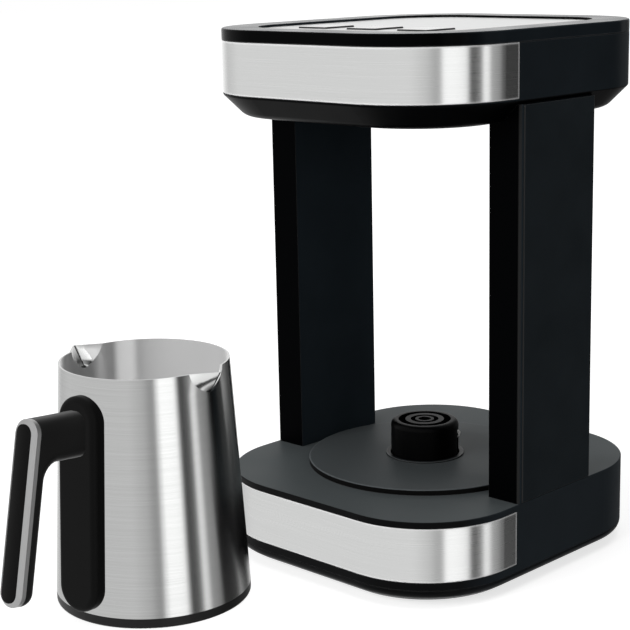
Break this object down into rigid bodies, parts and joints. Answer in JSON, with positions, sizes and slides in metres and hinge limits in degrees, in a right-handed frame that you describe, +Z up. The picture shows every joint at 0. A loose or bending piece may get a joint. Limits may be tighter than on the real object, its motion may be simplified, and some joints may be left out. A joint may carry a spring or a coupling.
{
  "type": "electric turkish coffee maker",
  "caption": "Countertop coffee maker: rounded base with power hub, side pillars, control head with push buttons, and a tapered steel jug with handle beside it.",
  "frame": {"origin": "on the axis of the power hub and platform disc, at the surface that the machine and its jug stand on", "axes": "+X to the right of a person facing the machine's front, +Y to the machine's back, +Z up"},
  "size_m": [0.1977, 0.3667, 0.295],
  "materials": {
    "black_plastic": "fine satin moulding",
    "deck_plastic": "fine satin moulding",
    "disc_plastic": "polished moulding",
    "hub_plastic": "polished moulding",
    "panel_plastic": "polished moulding",
    "band_steel": "brushed along its length",
    "plate_steel": "satin",
    "button_metal": "satin metal-coloured",
    "jug_steel": "finely brushed round the jug",
    "trim_steel": "polished",
    "handle_plastic": "fine matt moulding",
    "insert_plastic": "fine matt moulding",
    "foot_rubber": "plain",
    "contact_brass": "plain",
    "spring_steel": "plain",
    "screw_steel": "zinc plated",
    "board": "solder resist",
    "core_steel": "varnished",
    "relay_plastic": "plain",
    "terminal_plastic": "plain",
    "wire_plastic": "plain",
    "window_plastic": "dark see-through",
    "plate_aluminium": "plain",
    "element_steel": "sheathed element"
  },
  "bodies": {
    "machine": {"base_pan": "black_plastic", "base_housing": "deck_plastic", "base_front_band": "band_steel", "rubber_feet": "foot_rubber", "base_screws": "screw_steel", "platform_disc": "disc_plastic", "hub_collar": "black_plastic", "power_hub": "hub_plastic", "hub_screws": "screw_steel", "hub_ring_contacts": "contact_brass", "hub_centre_contact": "contact_brass", "hub_side_contact": "spring_steel", "power_board": "board", "transformer": "core_steel", "heater_relay": "relay_plastic", "mains_terminal_block": "terminal_plastic", "cord_gland": "black_plastic", "wiring_harness": "wire_plastic", "harness_connectors": "terminal_plastic", "left_pillar_channel": "black_plastic", "right_pillar_channel": "black_plastic", "left_side_panel": "panel_plastic", "right_side_panel": "panel_plastic", "pillar_base_screws": "screw_steel", "pillar_head_screws": "screw_steel", "head_lower_shell": "black_plastic", "head_front_band": "band_steel", "head_top_cover": "black_plastic", "control_plate": "plate_steel", "head_cover_screws": "screw_steel", "button_switches": "hub_plastic", "control_board": "board", "control_board_screws": "screw_steel", "buzzer": "hub_plastic", "sensor_window": "window_plastic", "foam_sensor": "hub_plastic"},
    "left_button": {"left_button": "button_metal", "left_button_plunger": "hub_plastic"},
    "middle_button": {"middle_button": "button_metal", "middle_button_plunger": "hub_plastic"},
    "right_button": {"right_button": "button_metal", "right_button_plunger": "hub_plastic"},
    "jug": {"jug_body": "jug_steel", "jug_base_ring": "handle_plastic", "jug_bottom_cover": "handle_plastic", "jug_cover_screws": "screw_steel", "jug_socket": "hub_plastic", "jug_socket_contacts": "contact_brass", "heater_plate": "jug_steel", "heat_spreader": "plate_aluminium", "heating_element": "element_steel", "thermostat": "element_steel", "handle_backplate": "handle_plastic", "handle_grip": "handle_plastic", "handle_trim_ring": "trim_steel", "handle_insert": "insert_plastic", "handle_screws": "screw_steel", "handle_lower_screw": "screw_steel"}
  },
  "joints": [
    {"name": "left_button_press", "type": "slide", "parent": "machine", "child": "left_button", "axis": [0, 0, -1], "range_m": [0, 0.0008], "stiffness_N_per_m": 600, "springref_m": -0.001},
    {"name": "middle_button_press", "type": "slide", "parent": "machine", "child": "middle_button", "axis": [0, 0, -1], "range_m": [0, 0.0008], "stiffness_N_per_m": 600, "springref_m": -0.001},
    {"name": "right_button_press", "type": "slide", "parent": "machine", "child": "right_button", "axis": [0, 0, -1], "range_m": [0, 0.0008], "stiffness_N_per_m": 600, "springref_m": -0.001},
    {"name": "jug_lift", "type": "slide", "parent": "machine", "child": "jug", "axis": [0, 0, 1], "range_m": [0, 0.15]}
  ]
}
